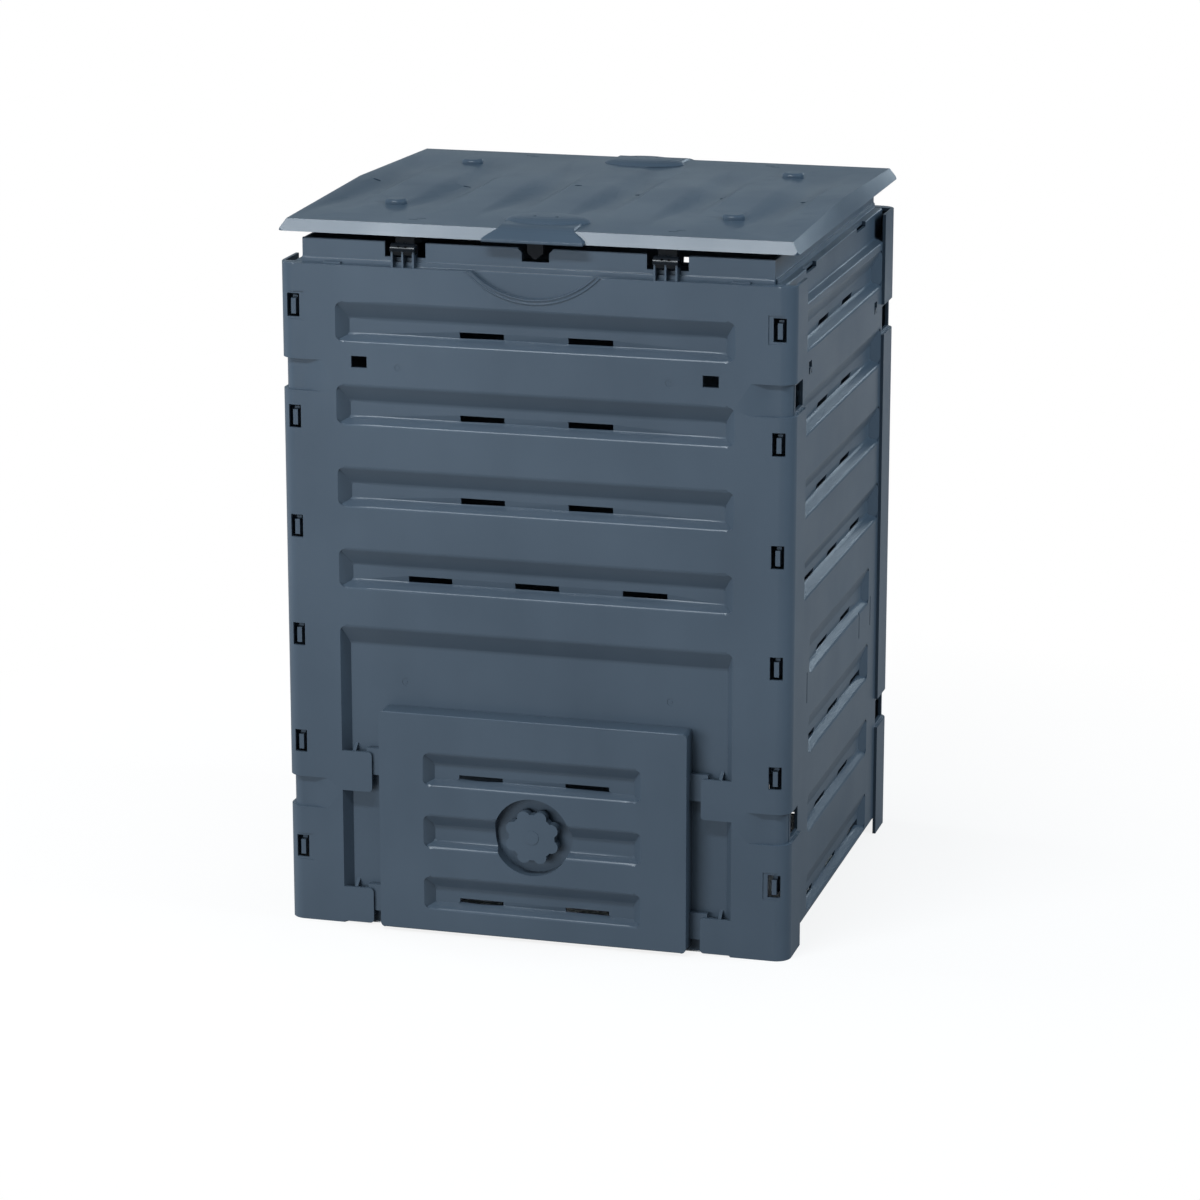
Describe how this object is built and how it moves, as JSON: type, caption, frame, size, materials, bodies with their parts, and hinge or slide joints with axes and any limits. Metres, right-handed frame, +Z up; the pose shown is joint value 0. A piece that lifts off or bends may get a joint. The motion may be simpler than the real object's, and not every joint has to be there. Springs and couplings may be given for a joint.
{
  "type": "compost bin",
  "caption": "Square garden compost bin of slotted, channelled plastic walls with a hinged creased lid, a sliding front hatch and a turning lock.",
  "frame": {"origin": "middle of the bin's footprint, on the ground", "axes": "+X to the right across the front, +Y from the front wall to the rear wall, +Z up"},
  "size_m": [0.654, 0.63, 0.9086],
  "materials": {
    "bin_plastic": "satin moulded plastic, blue-grey",
    "dark_plastic": "dark moulded plastic",
    "screw_steel": "zinc plated"
  },
  "bodies": {
    "bin": {"front_wall": "bin_plastic", "rear_wall": "bin_plastic", "left_wall": "bin_plastic", "right_wall": "bin_plastic", "front_hinge_pin_left": "dark_plastic", "front_hinge_pin_right": "dark_plastic", "rear_hinge_pin_left": "dark_plastic", "rear_hinge_pin_right": "dark_plastic"},
    "lid": {"lid": "bin_plastic", "front_handle": "bin_plastic", "rear_handle": "bin_plastic", "front_clip_left": "dark_plastic", "front_clip_right": "dark_plastic", "rear_hinge_clip_left": "dark_plastic", "rear_hinge_clip_right": "dark_plastic"},
    "front_latch": {"front_latch": "dark_plastic"},
    "rear_latch": {"rear_latch": "dark_plastic"},
    "hatch": {"door_panel": "bin_plastic"},
    "lock": {"knob": "bin_plastic", "knob_shaft": "dark_plastic", "lock_pawl": "dark_plastic", "pawl_screw": "screw_steel"}
  },
  "joints": [
    {"name": "lid_hinge", "type": "hinge", "parent": "bin", "child": "lid", "pos_m": [0, 0.292, 0.867], "axis": [-1, 0, 0], "range_deg": [0, 100]},
    {"name": "front_latch_pivot", "type": "hinge", "parent": "lid", "child": "front_latch", "pos_m": [0, -0.279, 0.889], "axis": [-1, 0, 0], "range_deg": [0, 12], "stiffness_Nm_per_rad": 0.02, "springref_deg": -5.73},
    {"name": "rear_latch_pivot", "type": "hinge", "parent": "lid", "child": "rear_latch", "pos_m": [0, 0.279, 0.889], "axis": [1, 0, 0], "range_deg": [0, 12], "stiffness_Nm_per_rad": 0.02, "springref_deg": -5.73},
    {"name": "hatch_slide", "type": "slide", "parent": "bin", "child": "hatch", "axis": [0, 0, 1], "range_m": [0, 0.032]},
    {"name": "lock_turn", "type": "hinge", "parent": "hatch", "child": "lock", "pos_m": [0, -0.3, 0.1386], "axis": [0, 1, 0], "range_deg": [0, 90]}
  ]
}
